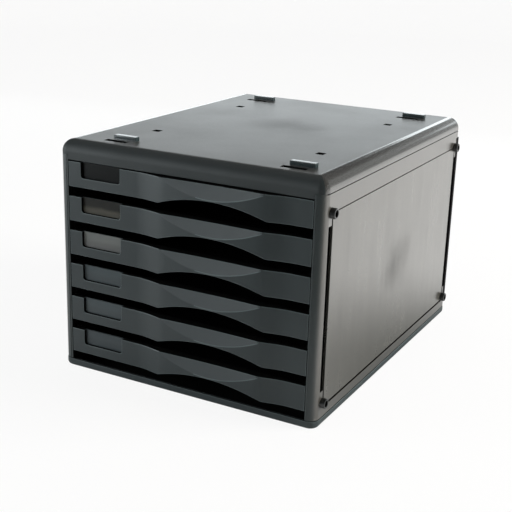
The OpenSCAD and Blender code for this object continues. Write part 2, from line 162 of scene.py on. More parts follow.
class Tree:
    """Builds a node tree."""

    def __init__(self, tree: bpy.types.NodeTree) -> None:
        """Wraps a tree and empties it."""
        self.tree = tree
        tree.nodes.clear()

    def node(
        self, kind: str, inputs: dict[Any, Any] | None = None, **settings: Any
    ) -> Node:
        """Adds a node, sets it up and feeds it.

        Args:
            kind: The node's type.
            inputs: Values or signals for its sockets, by index or name. A list of
                signals feeds a socket that takes several.
            settings: Its properties, which are set first.

        Returns:
            The node.
        """
        made = self.tree.nodes.new(kind)
        for name, value in settings.items():
            setattr(made, name, value)
        for key, value in (inputs or {}).items():
            for part in value if isinstance(value, list) else [value]:
                if isinstance(part, Signal):
                    self.tree.links.new(part.socket, made.inputs[key])
                else:
                    made.inputs[key].default_value = part
        return Node(self, made)

    def vector(self, x: Any, y: Any, z: Any) -> Signal:
        """Three numbers as a vector."""
        return self.node("ShaderNodeCombineXYZ", {0: x, 1: y, 2: z})[0]

    def split(self, vector: Signal) -> tuple[Signal, Signal, Signal]:
        """A vector's X, Y and Z."""
        parts = self.node("ShaderNodeSeparateXYZ", {0: vector})
        return parts[0], parts[1], parts[2]


class Look(Tree):
    """The node tree of a material or of the world."""

    def __init__(self, owner: Material | bpy.types.World) -> None:
        """Starts the owner's tree."""
        owner.use_nodes = True
        super().__init__(owner.node_tree)

    def spot(self) -> Signal:
        """Object coordinates."""
        return self.node("ShaderNodeTexCoord")["Object"]

    def noise(self, at: Signal, scale: float, detail: float, rough: float = 0.5) -> Node:
        """Adds noise.

        Args:
            at: Its coordinates.
            scale: How many features it has in a metre.
            detail: How many finer octaves it has.
            rough: How strong those are.

        Returns:
            The node, whose first output is a number and whose second is a colour.
        """
        inputs = {"Vector": at, "Scale": scale, "Detail": detail, "Roughness": rough}
        return self.node("ShaderNodeTexNoise", inputs)

    def mix(self, share: Any, *colours: Any) -> Signal:
        """Mixes two colours.

        Args:
            share: How much of the second colour there is.
            colours: The colour at share 0 and the one at share 1.

        Returns:
            The mixed colour.
        """
        first, second = (c if isinstance(c, Signal) else (*c, 1.0) for c in colours)
        inputs = {0: share, 6: first, 7: second}
        return self.node("ShaderNodeMix", inputs, data_type="RGBA")[2]

    def plain(self, kind: str, *colour: float) -> Signal:
        """A shader of one colour."""
        return self.node(kind, {"Color": (*colour, 1.0)})[0]

    def blend(self, share: Signal, first: Signal, second: Signal) -> Signal:
        """Mixes two shaders, of which the second counts by share."""
        return self.node("ShaderNodeMixShader", {0: share, 1: first, 2: second})[0]

    def plastic(
        self, strength: float, depth: float, relief: Signal, **sockets: Any
    ) -> None:
        """Ends the tree in a Principled shader on a relief.

        Args:
            strength: Strength of the relief.
            depth: Its depth, in millimetres.
            relief: Its height, from 0 to 1.
            sockets: The shader's inputs, with _ for each space.
        """
        heights = {"Strength": strength, "Distance": depth * MM, "Height": relief}
        inputs = {name.replace("_", " "): value for name, value in sockets.items()}
        inputs["Normal"] = self.node("ShaderNodeBump", heights)["Normal"]
        shader = self.node("ShaderNodeBsdfPrincipled", inputs)["BSDF"]
        self.node("ShaderNodeOutputMaterial", {"Surface": shader})


class Form(Tree):
    """A geometry tree with named numbers and a material as its inputs."""

    def __init__(self, name: str, numbers: dict[str, float]) -> None:
        """Starts the tree.

        Args:
            name: Its name.
            numbers: Its inputs, with lengths in metres.
        """
        super().__init__(bpy.data.node_groups.new(name, "GeometryNodeTree"))
        self.numbers = numbers
        socket = self.tree.interface.new_socket
        socket("Geometry", in_out="OUTPUT", socket_type="NodeSocketGeometry")
        for title in numbers:
            socket(title, in_out="INPUT", socket_type="NodeSocketFloat")
        socket("Material", in_out="INPUT", socket_type="NodeSocketMaterial")
        entry = self.node("NodeGroupInput")
        self.at = {title: entry[title] for title in (*numbers, "Material")}

    def here(self) -> tuple[Signal, Signal, Signal]:
        """X, Y and Z of each point."""
        return self.split(self.node("GeometryNodeInputPosition")[0])

    def grid(self, size_x: Any, size_y: Any, across: int = 2, along: int = 2) -> Signal:
        """Makes a flat grid.

        Args:
            size_x: Its width, in metres.
            size_y: Its depth.
            across: Points along X.
            along: Points along Y.

        Returns:
            The grid.
        """
        sizes = {"Size X": size_x, "Size Y": size_y}
        counts = {"Vertices X": across, "Vertices Y": along}
        return self.node("GeometryNodeMeshGrid", {**sizes, **counts})["Mesh"]

    def cylinder(self, radius: Signal, length: Signal, sides: int) -> Signal:
        """An upright cylinder with flat ends."""
        sizes = {"Vertices": sides, "Radius": radius, "Depth": length}
        return self.node("GeometryNodeMeshCylinder", sizes, fill_type="NGON")["Mesh"]

    def turned(self, shape: Signal, shift: Signal, turn: float = 0.0) -> Signal:
        """A shape turned about Y, in radians, and then shifted."""
        inputs = {"Geometry": shape, "Translation": shift, "Rotation": (0.0, turn, 0.0)}
        return self.node("GeometryNodeTransform", inputs)[0]

    def moved(self, shape: Signal, **how: Signal) -> Signal:
        """A shape with its points moved by the named inputs of Set Position."""
        inputs = {name.title(): value for name, value in how.items()}
        return self.node("GeometryNodeSetPosition", {"Geometry": shape, **inputs})[0]

    def set_out(self, shape: Signal, points: Signal) -> Signal:
        """A shape on every point of another one."""
        inputs = {"Points": points, "Instance": shape}
        return self.node("GeometryNodeInstanceOnPoints", inputs)[0]

    def end(self, shape: Signal) -> None:
        """Ends the tree in Realize Instances and Set Material.

        Args:
            shape: What the tree makes.
        """
        real = self.node("GeometryNodeRealizeInstances", {"Geometry": shape})[0]
        inputs = {"Geometry": real, "Material": self.at["Material"]}
        dressed = self.node("GeometryNodeSetMaterial", inputs)[0]
        self.node("NodeGroupOutput", {"Geometry": dressed}, is_active_output=True)

    def run(self, name: str, material: Material) -> Object:
        """Makes an object of the tree, as plain mesh.

        Args:
            name: The object's name.
            material: Its material.

        Returns:
            The object.
        """
        piece = new_object(name, bpy.data.meshes.new(name))
        modifier = piece.modifiers.new("shape", "NODES")
        modifier.node_group = self.tree
        values = {**self.numbers, "Material": material}
        for item in self.tree.interface.items_tree:
            if item.name in values:
                modifier[item.identifier] = values[item.name]
        return baked(piece)


# ------------------------------------------------------------------ finishes


def srgb(red: float, green: float, blue: float) -> Colour:
    """Scene colour of a display colour.

    Args:
        red: Red, from 0 to 255.
        green: Green.
        blue: Blue.

    Returns:
        The colour in scene values.
    """

    def linear(value: float) -> float:
        """One channel."""
        v = value / 255.0
        return v / 12.92 if v <= 0.04045 else ((v + 0.055) / 1.055) ** 2.4

    return linear(red), linear(green), linear(blue)


@dataclass(frozen=True)
class MouldedPlastic:
    """Charcoal moulded plastic with grain, clouding and flow streaks.

    Attributes:
        name: The material's name.
        colour: Its middle colour.
        roughness: Its middle roughness.
        cloud: How far soft clouds lighten and darken it.
        cloud_size: Size of the clouds, in millimetres.
        grain: Depth of the fine grain, in millimetres.
        grain_size: Size of the fine grain, in millimetres.
        speck_size: How many times larger its specks are.
        streaks: How far streaks along the flow change it.
        streak_stretch: How much the streak pattern is stretched along X, Y and Z.
        streak_scale: How many streaks there are in a metre before that.
        dark_patch: Middle of a ragged patch that is darker and less glossy.
        dark_patch_size: Reach of the patch, in millimetres.
        dark_patch_depth: How dark the patch is.
        warp: How ragged the patch is, in metres.
        warp_scale: How many rags there are in a metre.
        specular: The shader's specular level.
        coat: Weight of the clear coat that stands for a polished skin.
        coat_roughness: Roughness of that skin.
        coat_ior: Its index of refraction.
        sheen: How far clouds, streaks and the dark patch change that skin.
        front: Painted shade on the faces towards the front: a darker, bluer copy of the
            colour, where the coat fades out and the surface turns rougher.
        front_roughness: Roughness there.
        front_y: Where that is, from all front to none, in millimetres.
        tints: The darkest and the lightest tone, as parts of the colour.
        speck: How far the grain changes the tone and the roughness.
        tone_gloss: How far the tone changes the roughness.
    """

    name: str
    colour: Colour
    roughness: float = 0.42
    cloud: float = 0.12
    cloud_size: float = 60.0
    grain: float = 0.02
    grain_size: float = 0.5
    speck_size: float = 3.0
    streaks: float = 0.0
    streak_stretch: Point = (1.0, 1.0, 1.0)
    streak_scale: float = 60.0
    dark_patch: Point | None = None
    dark_patch_size: float = 30.0
    dark_patch_depth: float = 0.2
    warp: float = 0.06
    warp_scale: float = 18.0
    specular: float = 0.5
    coat: float = 0.0
    coat_roughness: float = 0.2
    coat_ior: float = 1.5
    sheen: float = 1.2
    front: Colour | None = None
    front_roughness: float = 0.42
    front_y: Pair = (-184.6, -180.5)
    tints: Pair = (0.5, 1.5)
    speck: Pair = (0.10, 0.08)
    tone_gloss: float = 0.25

    def build(self) -> Material:
        """Makes the material.

        Returns:
            The material.
        """
        material = bpy.data.materials.new(self.name)
        look = Look(material)
        spot = look.spot()
        cloud = look.noise(spot, 1.0 / (self.cloud_size * MM), 3.0, 0.55)[0]
        tone = (cloud - 0.5) * (2.0 * self.cloud)
        coat, roughness = self.coat, self.roughness
        if self.streaks:
            tone = tone + (self._streaks(look, spot) - 0.5) * (2.0 * self.streaks)
        # A ragged patch, darker and less glossy, round a given point.
        if self.dark_patch:
            tone = tone - self._dark_patch(look, spot) * self.dark_patch_depth
        if self.coat:
            coat = (tone * self.sheen + 1.0).most(0.0).least(1.0) * self.coat
        fine = look.noise(spot, 1.0 / (self.grain_size * MM), 2.0)[0]
        speck_size = self.grain_size * self.speck_size
        speck = look.noise(spot, 1.0 / (speck_size * MM), 2.0, 0.6)[0]
        shade = (tone + (speck - 0.5) * self.speck[0] + 0.5).step(0.0, 1.0)
        colour = self._tinted(look, shade, self.colour)
        # Painted shade: towards the front the colour turns to the darker, bluer front copy
        # and the coat fades out.
        if self.front:
            unshaded = look.split(spot)[1].smooth(*(y * MM for y in self.front_y))
            colour = look.mix(unshaded, self._tinted(look, shade, self.front), colour)
            coat = unshaded * coat
            roughness = self.front_roughness - unshaded * (self.front_roughness - roughness)
        look.plastic(
            1.0,
            self.grain,
            fine,
            Base_Color=colour,
            Roughness=roughness - tone * self.tone_gloss + (speck - 0.5) * self.speck[1],
            Specular_IOR_Level=self.specular,
            Coat_Weight=coat,
            Coat_Roughness=self.coat_roughness,
            Coat_IOR=self.coat_ior,
        )
        return material

    def _tinted(self, look: Look, shade: Signal, colour: Colour) -> Signal:
        """A colour that runs with the shade from its dark to its light tint."""
        return look.mix(shade, *(tuple(c * tint for c in colour) for tint in self.tints))

    def _streaks(self, look: Look, spot: Signal) -> Signal:
        """Noise drawn out along the way the plastic flowed.

        Args:
            look: The material's tree.
            spot: Its Object coordinates.

        Returns:
            The streaks, from 0 to 1.
        """
        inputs = {"Vector": spot, "Scale": self.streak_stretch}
        stretched = look.node("ShaderNodeMapping", inputs, vector_type="POINT")[0]
        return look.noise(stretched, self.streak_scale, 3.0, 0.6)[0]

    def _dark_patch(self, look: Look, spot: Signal) -> Signal:
        """A ragged dark patch round its middle.

        Args:
            look: The material's tree.
            spot: Its Object coordinates.

        Returns:
            The patch, from 0 to 1.
        """
        ragged = look.noise(spot, self.warp_scale, 3.0, 0.6)[1]
        inputs = {0: ragged, 1: (self.warp,) * 3, 2: spot}
        bent = look.node("ShaderNodeVectorMath", inputs, operation="MULTIPLY_ADD")[0]
        centre = tuple(c * MM + self.warp / 2 for c in self.dark_patch)
        ends = {0: bent, 1: centre}
        reach = look.node("ShaderNodeVectorMath", ends, operation="DISTANCE")[1]
        return 1.0 - reach.smooth(0.0, self.dark_patch_size * MM)


@dataclass(frozen=True)
class SmokedStrip:
    """Glossy label strip behind a drawer's window opening.

    Attributes:
        name: The material's name.
        upper: Colour of its upper part.
        lower: Colour of its lower part.
        split: Height at which the one gives way to the other, in millimetres.
        blur: Height over which it does so, in millimetres.
        wander: How far that height wanders, in millimetres.
        wander_scale: How often it does in a metre.
        haze_scale: How many specks of haze there are in a metre.
        haze_relief: Strength of their relief.
        haze_depth: Its depth, in millimetres.
        haze_gloss: How far they change the roughness.
        roughness: Least roughness.
        specular: The shader's specular level.
        coat: Weight of the clear coat.
        coat_roughness: Its roughness.
    """

    name: str
    upper: Colour
    lower: Colour
    split: float
    blur: float = 2.5
    wander: float = 4.0
    wander_scale: float = 90.0
    haze_scale: float = 2500.0
    haze_relief: float = 0.4
    haze_depth: float = 0.004
    haze_gloss: float = 0.08
    roughness: float = 0.26
    specular: float = 0.25
    coat: float = 0.1
    coat_roughness: float = 0.08

    def build(self) -> Material:
        """Makes the material.

        Returns:
            The material.
        """
        material = bpy.data.materials.new(self.name)
        look = Look(material)
        spot = look.spot()
        height = look.split(spot)[2]
        wave = look.noise(spot, self.wander_scale, 2.0)[0]
        low, high = ((self.split + side * self.blur) * MM for side in (-1, 1))
        share = (height + (wave - 0.5) * (self.wander * MM)).smooth(low, high)
        haze = look.noise(spot, self.haze_scale, 1.0)[0]
        look.plastic(
            self.haze_relief,
            self.haze_depth,
            haze,
            Base_Color=look.mix(share, self.lower, self.upper),
            Roughness=self.roughness + haze * self.haze_gloss,
            Specular_IOR_Level=self.specular,
            Coat_Weight=self.coat,
            Coat_Roughness=self.coat_roughness,
        )
        return material


class Finish(Enum):
    """The plastics that the cabinet is moulded from, and the painted shade and highlight
    put on them.
    """

    # front is painted shade: a darker, bluer copy for the cover's faces towards the front.
    TOP = MouldedPlastic(
        "cover_grained_charcoal", srgb(50, 50, 49), roughness=0.34,
        cloud=0.16, cloud_size=55.0, grain=0.03, grain_size=0.6,
        dark_patch=(5.0, 10.0, 240.0), dark_patch_size=55.0, coat=0.32, coat_roughness=0.3,
        front=srgb(34, 40, 41), front_roughness=0.6, front_y=(-178.0, -171.0),
    )
    # front is painted shade where the rounding turns towards the front.
    ROUNDING = MouldedPlastic(
        "cover_edge_polished", srgb(48, 48, 47), roughness=0.25,
        cloud=0.08, grain=0.008, specular=0.7,
        coat=1.0, coat_roughness=0.12, coat_ior=1.7,
        front=srgb(34, 40, 41), front_roughness=0.6,
    )
    # front is painted shade on the front faces of the posts.
    SIDE = MouldedPlastic(
        "side_satin_charcoal", srgb(58, 57, 54), roughness=0.30,
        cloud=0.08, cloud_size=70.0, grain=0.01, specular=0.7,
        coat=1.0, coat_roughness=0.25, coat_ior=1.8, front=srgb(37, 45, 46),
    )
    PANEL = MouldedPlastic(
        "panel_polished_charcoal", srgb(58, 57, 53), roughness=0.30,
        cloud=0.10, cloud_size=45.0, grain=0.003, specular=0.7,
        streaks=0.24, streak_stretch=(1.0, 1.6, 0.16),
        dark_patch=(145.0, 5.0, 112.0), dark_patch_size=46.0, dark_patch_depth=0.42,
        coat=1.0, coat_roughness=0.22, coat_ior=1.8,
    )
    FRONT = MouldedPlastic(
        "front_slate", srgb(41, 48, 50),
        cloud=0.10, cloud_size=40.0, grain=0.015, grain_size=0.45,
    )
    BASE = MouldedPlastic("base_slate", srgb(44, 51, 53), cloud=0.10, cloud_size=50.0)
    LUG = MouldedPlastic(
        "lug_slate", srgb(34, 46, 48), roughness=0.38, cloud=0.06, cloud_size=12.0,
        grain=0.01, coat=1.0, coat_roughness=0.08, coat_ior=2.2,
    )
    LINER = MouldedPlastic("inner_black_plastic", srgb(15, 16, 17), roughness=0.5)
    # Painted shade: near-black put on recesses, seam steps, slots and gaps, where shade
    # falls.
    PAINTED_SHADE = MouldedPlastic(
        "recess_painted_shade", srgb(9, 9, 9), roughness=0.75,
        cloud=0.1, cloud_size=20.0, grain=0.01, specular=0.12,
    )
    BACK = MouldedPlastic(
        "back_matt_black", srgb(12, 12, 13), roughness=0.7,
        cloud=0.15, cloud_size=70.0, grain=0.04, grain_size=0.8, specular=0.2,
    )
    # Painted highlight: a lighter slate for edge roundings and the crease, where light
    # catches them.
    EDGE = MouldedPlastic(
        "edge_painted_highlight", srgb(74, 84, 86), roughness=0.36,
        cloud=0.35, cloud_size=45.0, grain=0.008,
    )
    PEG = MouldedPlastic(
        "peg_black", srgb(16, 19, 20), roughness=0.3,
        cloud=0.06, cloud_size=8.0, grain=0.008, coat=0.9, coat_ior=1.7,
    )


class Paint:
    """Materials by finish, each made once."""

    def __init__(self) -> None:
        """Starts with none made."""
        self._made: dict[Any, Material] = {}

    def of(self, finish: Finish | SmokedStrip) -> Material:
        """Looks a material up, or makes it.

        Args:
            finish: The finish.

        Returns:
            Its material.
        """
        if finish not in self._made:
            recipe = finish.value if isinstance(finish, Finish) else finish
            self._made[finish] = recipe.build()
        return self._made[finish]


# ------------------------------------------------------------------ meshes


def metres(lengths: dict[str, float]) -> dict[str, float]:
    """Named lengths in millimetres, turned into metres."""
    return {name: length * MM for name, length in lengths.items()}


def new_object(name: str, data: Any) -> Object:
    """Puts a mesh, a light or a camera into the scene.

    Args:
        name: The object's name.
        data: What it shows.

    Returns:
        The object.
    """
    made = bpy.data.objects.new(name, data)
    bpy.context.scene.collection.objects.link(made)
    return made


def from_bmesh(name: str, bm: bmesh.types.BMesh) -> Object:
    """Puts a bmesh into the scene and frees it.

    Args:
        name: The object's name.
        bm: The bmesh.

    Returns:
        The object.
    """
    mesh = bpy.data.meshes.new(name)
    bm.to_mesh(mesh)
    bm.free()
    return new_object(name, mesh)


def baked(piece: Object) -> Object:
    """Turns a piece's modifiers into plain mesh.

    Args:
        piece: The piece.

    Returns:
        The piece.
    """
    graph = bpy.context.evaluated_depsgraph_get()
    graph.update()
    mesh = bpy.data.meshes.new_from_object(
        piece.evaluated_get(graph), preserve_all_data_layers=True, depsgraph=graph
    )
    piece.modifiers.clear()
    old, piece.data = piece.data, mesh
    bpy.data.meshes.remove(old)
    mesh.name = piece.name
    return piece


def box(name: str, low: Point, high: Point) -> Object:
    """A box between two corners.

    Args:
        name: The object's name.
        low: The lowest corner, in millimetres.
        high: The highest corner.

    Returns:
        The box.
    """
    bm = bmesh.new()
    bmesh.ops.create_cube(bm, size=1.0)
    for vert in bm.verts:
        ends = zip(vert.co, low, high)
        vert.co = Vector((lo if c < 0 else hi) * MM for c, lo, hi in ends)
    return from_bmesh(name, bm)


def prism(name: str, outline: Sequence[Pair], low: float, high: float, axis: str) -> Object:
    """Runs a flat outline along an axis.

    Args:
        name: The object's name.
        outline: Its points in millimetres: X and Y for axis "Z", X and Z for "Y".
        low: Where the prism starts along the axis, in millimetres.
        high: Where it ends.
        axis: "Y" or "Z".

    Returns:
        The closed prism.
    """
    bm = bmesh.new()
    ends = []
    for level in (low, high):
        points = [(a, b, level) if axis == "Z" else (a, level, b) for a, b in outline]
        ends.append([bm.verts.new(Vector(p) * MM) for p in points])
    bm.faces.new(ends[0])
    bm.faces.new(ends[1])
    join_rings(bm, *ends)
    bmesh.ops.recalc_face_normals(bm, faces=bm.faces)
    return from_bmesh(name, bm)


def join_rings(bm: bmesh.types.BMesh, low: Sequence[Any], high: Sequence[Any]) -> None:
    """Fills the band between two closed rings of points with faces.

    Args:
        bm: The bmesh of the rings.
        low: The one ring's points.
        high: The other ring's, which match.
    """
    count = len(low)
    for i in range(count):
        j = (i + 1) % count
        bm.faces.new((low[i], low[j], high[j], high[i]))


def carve(piece: Object, cutters: Iterable[Object], join: bool = False) -> None:
    """Cuts pieces out of another one, or joins them to it, and removes them.

    Args:
        piece: The piece that is changed.
        cutters: The solids that are cut out or joined.
        join: Whether they are joined.
    """
    cutters = list(cutters)
    for cutter in cutters:
        cut = piece.modifiers.new("cut", "BOOLEAN")
        cut.operation = "UNION" if join else "DIFFERENCE"
        cut.solver = "EXACT"
        cut.material_mode = "TRANSFER"
        cut.object = cutter
    baked(piece)
    for cutter in cutters:
        bpy.data.objects.remove(cutter)


def tidy_mesh(mesh: bpy.types.Mesh) -> None:
    """Merges a mesh's doubles and its flat faces.

    Args:
        mesh: The mesh.
    """
    bm = bmesh.new()
    bm.from_mesh(mesh)
    bmesh.ops.remove_doubles(bm, verts=bm.verts, dist=MERGE_GAP)
    bmesh.ops.dissolve_degenerate(bm, edges=bm.edges, dist=MERGE_GAP)
    limit = math.radians(FLAT_ANGLE)
    parts = {"verts": bm.verts, "edges": bm.edges}
    bmesh.ops.dissolve_limit(bm, angle_limit=limit, delimit={"MATERIAL"}, **parts)
    bm.to_mesh(mesh)
    bm.free()


def soften(
    piece: Object,
    width: float,
    segments: int = 3,
    angle: float = 40.0,
    edge: Material | None = None,
) -> None:
    """Rounds a piece's edges and gives it smooth, even shading.

    Args:
        piece: The piece.
        width: Width of the rounding, in millimetres.
        segments: Steps across the rounding.
        angle: Edges sharper than this, in degrees, are rounded.
        edge: Material of the roundings, where it isn't that of the faces beside them.
    """
    bevel = piece.modifiers.new("edges", "BEVEL")
    bevel.width = width * MM
    bevel.segments = segments
    bevel.limit_method = "ANGLE"
    bevel.angle_limit = math.radians(angle)
    bevel.use_clamp_overlap = False
    bevel.miter_outer = "MITER_SHARP"
    if edge:
        piece.data.materials.append(edge)
        bevel.material = len(piece.data.materials) - 1
    baked(piece)
    piece.data.shade_smooth()
    even = piece.modifiers.new("shading", "WEIGHTED_NORMAL")
    even.mode = "FACE_AREA"
    even.weight = SHADING_WEIGHT
    even.keep_sharp = False
    baked(piece)


def copied(node: str, name: str) -> Object:
    """Makes a merged copy of a CAD node, to be dressed in its place.

    Args:
        node: The node's name.
        name: The copy's name.

    Returns:
        The copy.
    """
    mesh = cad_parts[node].data.copy()
    mesh.materials.clear()
    if mesh.attributes.get("custom_normal"):
        mesh.attributes.remove(mesh.attributes["custom_normal"])
    piece = new_object(name, mesh)
    tidy_mesh(mesh)
    return piece


def paint(piece: Object, material: Material) -> Object:
    """Gives a piece one material all over.

    Args:
        piece: The piece.
        material: The material.

    Returns:
        The piece.
    """
    piece.data.materials.clear()
    piece.data.materials.append(material)
    return piece


def paint_where(piece: Object, material: Material, chosen: Callable[[Face], bool]) -> None:
    """Gives some of a piece's faces a material of their own.

    Args:
        piece: The piece.
        material: The material.
        chosen: Says of a face whether it gets it.
    """
    slots = piece.data.materials
    slots.append(material)
    for face in piece.data.polygons:
        if chosen(face):
            face.material_index = len(slots) - 1


def place(piece: Object, body: str, slot: str, *stands_for: str) -> None:
    """Puts a finished piece on its body.

    Args:
        piece: The piece, at the origin.
        body: The CAD body that it rides on.
        slot: The record's slot for its finish; not used.
        stands_for: The CAD nodes that it replaces.
    """
    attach(piece, body)
    if stands_for:
        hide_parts(*stands_for)
    log.info("%s rides on %s: %d faces", piece.name, body, len(piece.data.polygons))


def quarter_turn(x: float, y: float, r: float, start: float, steps: int) -> list[Pair]:
    """Runs a quarter of a circle, in millimetres.

    Args:
        x: The circle's middle.
        y: The same along the other axis.
        r: Its radius.
        start: The angle at which it starts, in degrees.
        steps: Steps along it.

    Returns:
        Its points.
    """
    angles = [math.radians(start + 90.0 * i / steps) for i in range(steps + 1)]
    return [(x + r * math.cos(a), y + r * math.sin(a)) for a in angles]


# ------------------------------------------------------------------ housing


@dataclass(frozen=True)
class RoundedPlan:
    """A rectangle with round corners, whose rings step inwards."""

    half_w: float
    half_d: float
    radius: float
    arc_steps: int = 12

    def ring(self, inset: float) -> list[Pair]:
        """The outline, moved in.

        Args:
            inset: How far it is moved in.

        Returns:
            Its points, which match from ring to ring.
        """
        r = max(self.radius - inset, 0.0)
        x, y = self.half_w - inset - r, self.half_d - inset - r
        points = quarter_turn(x, -y, r, -90.0, self.arc_steps)
        points += quarter_turn(x, y, r, 0.0, self.arc_steps)
        points += quarter_turn(-x, y, r, 90.0, self.arc_steps)
        return points + quarter_turn(-x, -y, r, 180.0, self.arc_steps)


@dataclass(frozen=True)
class Housing:
    """Sizes that the housing's pieces share, in millimetres."""

    width: float = 290.0
    depth: float = 370.0
    corner_r: float = 9.0
    wall: float = 2.5
    open_x: float = 134.2
    base_top: float = 8.4
    open_top: float = 220.4
    seam_z: float = 225.0
    top_z: float = 240.0
    seam_gap: float = 0.55
    seam_depth: float = 1.3
    seam_start: float = 5.0
    seam_past: float = 1.0

    @property
    def side_x(self) -> float:
        """Outer face of the right side."""
        return self.width / 2

    @property
    def front_y(self) -> float:
        """Front face."""
        return -self.depth / 2

    def plan(self, grow: float = 0.0) -> RoundedPlan:
        """The housing's plan, grown all round."""
        half_w, half_d = self.width / 2, self.depth / 2
        return RoundedPlan(half_w + grow, half_d + grow, self.corner_r + grow)

    def is_sunk(self, face: Face, least: float = 0.9) -> bool:
        """Whether a face lies deep under the housing's sides.

        Args:
            face: The face.
            least: How deep, in millimetres.

        Returns:
            True where it lies deeper than that.
        """
        over_x = abs(face.center.x) / MM - (self.side_x - self.corner_r)
        over_y = abs(face.center.y) / MM - (self.depth / 2 - self.corner_r)
        if min(over_x, over_y) > 0:
            return self.corner_r - math.hypot(over_x, over_y) > least
        return self.corner_r - max(over_x, over_y) > least


def crowned_block(
    name: str, plan: RoundedPlan, profile: Sequence[Pair], level: float = 0.0
) -> Object:
    """A solid whose side follows a profile of inset and height round a plan.

    Args:
        name: The object's name.
        plan: The plan.
        profile: Inset and height in millimetres, from the bottom up.
        level: Height at which the profile stands.

    Returns:
        The closed solid.
    """
    bm = bmesh.new()
    rings = [
        [bm.verts.new((x * MM, y * MM, z * MM)) for x, y in plan.ring(inset)]
        for inset, z in profile
    ]
    for low, high in zip(rings, rings[1:]):
        join_rings(bm, low, high)
    bm.faces.new(list(reversed(rings[0])))
    bm.faces.new(rings[-1])
    bmesh.ops.remove_doubles(bm, verts=bm.verts, dist=MERGE_GAP / 2)
    bmesh.ops.dissolve_degenerate(bm, edges=bm.edges, dist=MERGE_GAP / 2)
    block = from_bmesh(name, bm)
    block.data.transform(Matrix.Translation((0, 0, level * MM)))
    return block


def edge_profile(height: float, radius: float, steps: int = 18) -> list[Pair]:
    """Side of a block with a round upper edge.

    Args:
        height: The block's height.
        radius: The edge's radius.
        steps: Steps round the edge.

    Returns:
        Its points, as inset and height.
    """
    turns = [math.radians(90.0 * i / steps) for i in range(steps + 1)]
    low = height - radius
    arc = [(radius * (1 - math.cos(a)), low + radius * math.sin(a)) for a in turns]
    return [(0.0, 0.0), *arc]


@dataclass
class Part:
    """What the cabinet's sub-assemblies share."""

    sizes: Housing
    paints: Paint

    def painted(self, piece: Object, finish: Finish | SmokedStrip) -> Object:
        """Gives a piece one finish all over."""
        return paint(piece, self.paints.of(finish))

    def seam(self, low: float, high: float, front: bool = True) -> Object:
        """A cutter round the housing, whose shallow step carries painted shade and shows as
        a dark seam.

        Args:
            low: Its lower edge, in millimetres.
            high: Its upper edge.
            front: Whether it runs across the front face too.

        Returns:
            The cutter.
        """
        s = self.sizes
        over, clear, deep, past = 4.0, 9.0, s.seam_depth, s.seam_past
        band = crowned_block("seam_band", s.plan(over), [(0.0, low), (0.0, high)])
        inside = [(deep, low - past), (deep, high + past)]
        core = crowned_block("seam_core", s.plan(), inside)
        carve(band, [core])
        if not front:
            reach, near = s.width / 2 + clear, s.front_y - clear
            corner = (reach, s.front_y + s.seam_start, high + 2 * past)
            carve(band, [box("keep", (-reach, near, low - 2 * past), corner)])
        # Painted shade: the step's faces are near-black, as the gap between the parts lies
        # in shade.
        return self.painted(band, Finish.PAINTED_SHADE)


